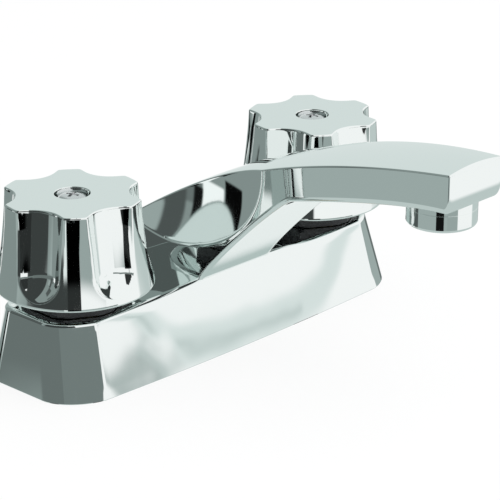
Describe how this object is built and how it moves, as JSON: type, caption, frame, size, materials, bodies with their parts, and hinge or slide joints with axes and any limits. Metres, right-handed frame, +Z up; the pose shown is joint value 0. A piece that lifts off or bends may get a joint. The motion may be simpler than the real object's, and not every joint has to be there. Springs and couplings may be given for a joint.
{
  "type": "centerset bathroom faucet",
  "caption": "Chrome centerset basin faucet with a low arched spout cast onto a flared base, and scalloped knobs that turn a quarter turn.",
  "frame": {"origin": "middle of the base on the deck, halfway between the two handles", "axes": "+Z up out of the deck, +X from the hot handle to the cold handle, -Y towards the spout's tip"},
  "size_m": [0.1484, 0.1301, 0.1271],
  "materials": {
    "chrome": "polished plating",
    "brass": "machined",
    "copper": "drawn tube",
    "steel": "bright stainless",
    "rubber": "moulded",
    "ceramic": "lapped",
    "plastic": "moulded",
    "white_plastic": "moulded"
  },
  "bodies": {
    "faucet": {"base_spout": "chrome", "base_plate": "plastic", "mixing_tee": "brass", "spout_ring": "rubber", "aerator_housing": "chrome", "aerator_insert": "white_plastic", "aerator_washer": "rubber", "hot_fixed_disc": "ceramic", "hot_seat_seal": "rubber", "hot_cartridge": "brass", "hot_cartridge_ring": "rubber", "hot_bonnet_nut": "plastic", "hot_valve_body": "brass", "hot_tube": "copper", "hot_shank_washer": "steel", "hot_shank_nut": "plastic", "cold_fixed_disc": "ceramic", "cold_seat_seal": "rubber", "cold_cartridge": "brass", "cold_cartridge_ring": "rubber", "cold_bonnet_nut": "plastic", "cold_valve_body": "brass", "cold_tube": "copper", "cold_shank_washer": "steel", "cold_shank_nut": "plastic"},
    "hot_handle": {"hot_knob": "chrome", "hot_knob_screw": "steel", "hot_stem": "brass", "hot_turning_disc": "ceramic"},
    "cold_handle": {"cold_knob": "chrome", "cold_knob_screw": "steel", "cold_stem": "brass", "cold_turning_disc": "ceramic"}
  },
  "joints": [
    {"name": "hot_turn", "type": "hinge", "parent": "faucet", "child": "hot_handle", "pos_m": [-0.0508, 0, 0.04], "axis": [0, 0, 1], "range_deg": [0, 90]},
    {"name": "cold_turn", "type": "hinge", "parent": "faucet", "child": "cold_handle", "pos_m": [0.0508, 0, 0.04], "axis": [0, 0, 1], "range_deg": [-90, 0]}
  ]
}
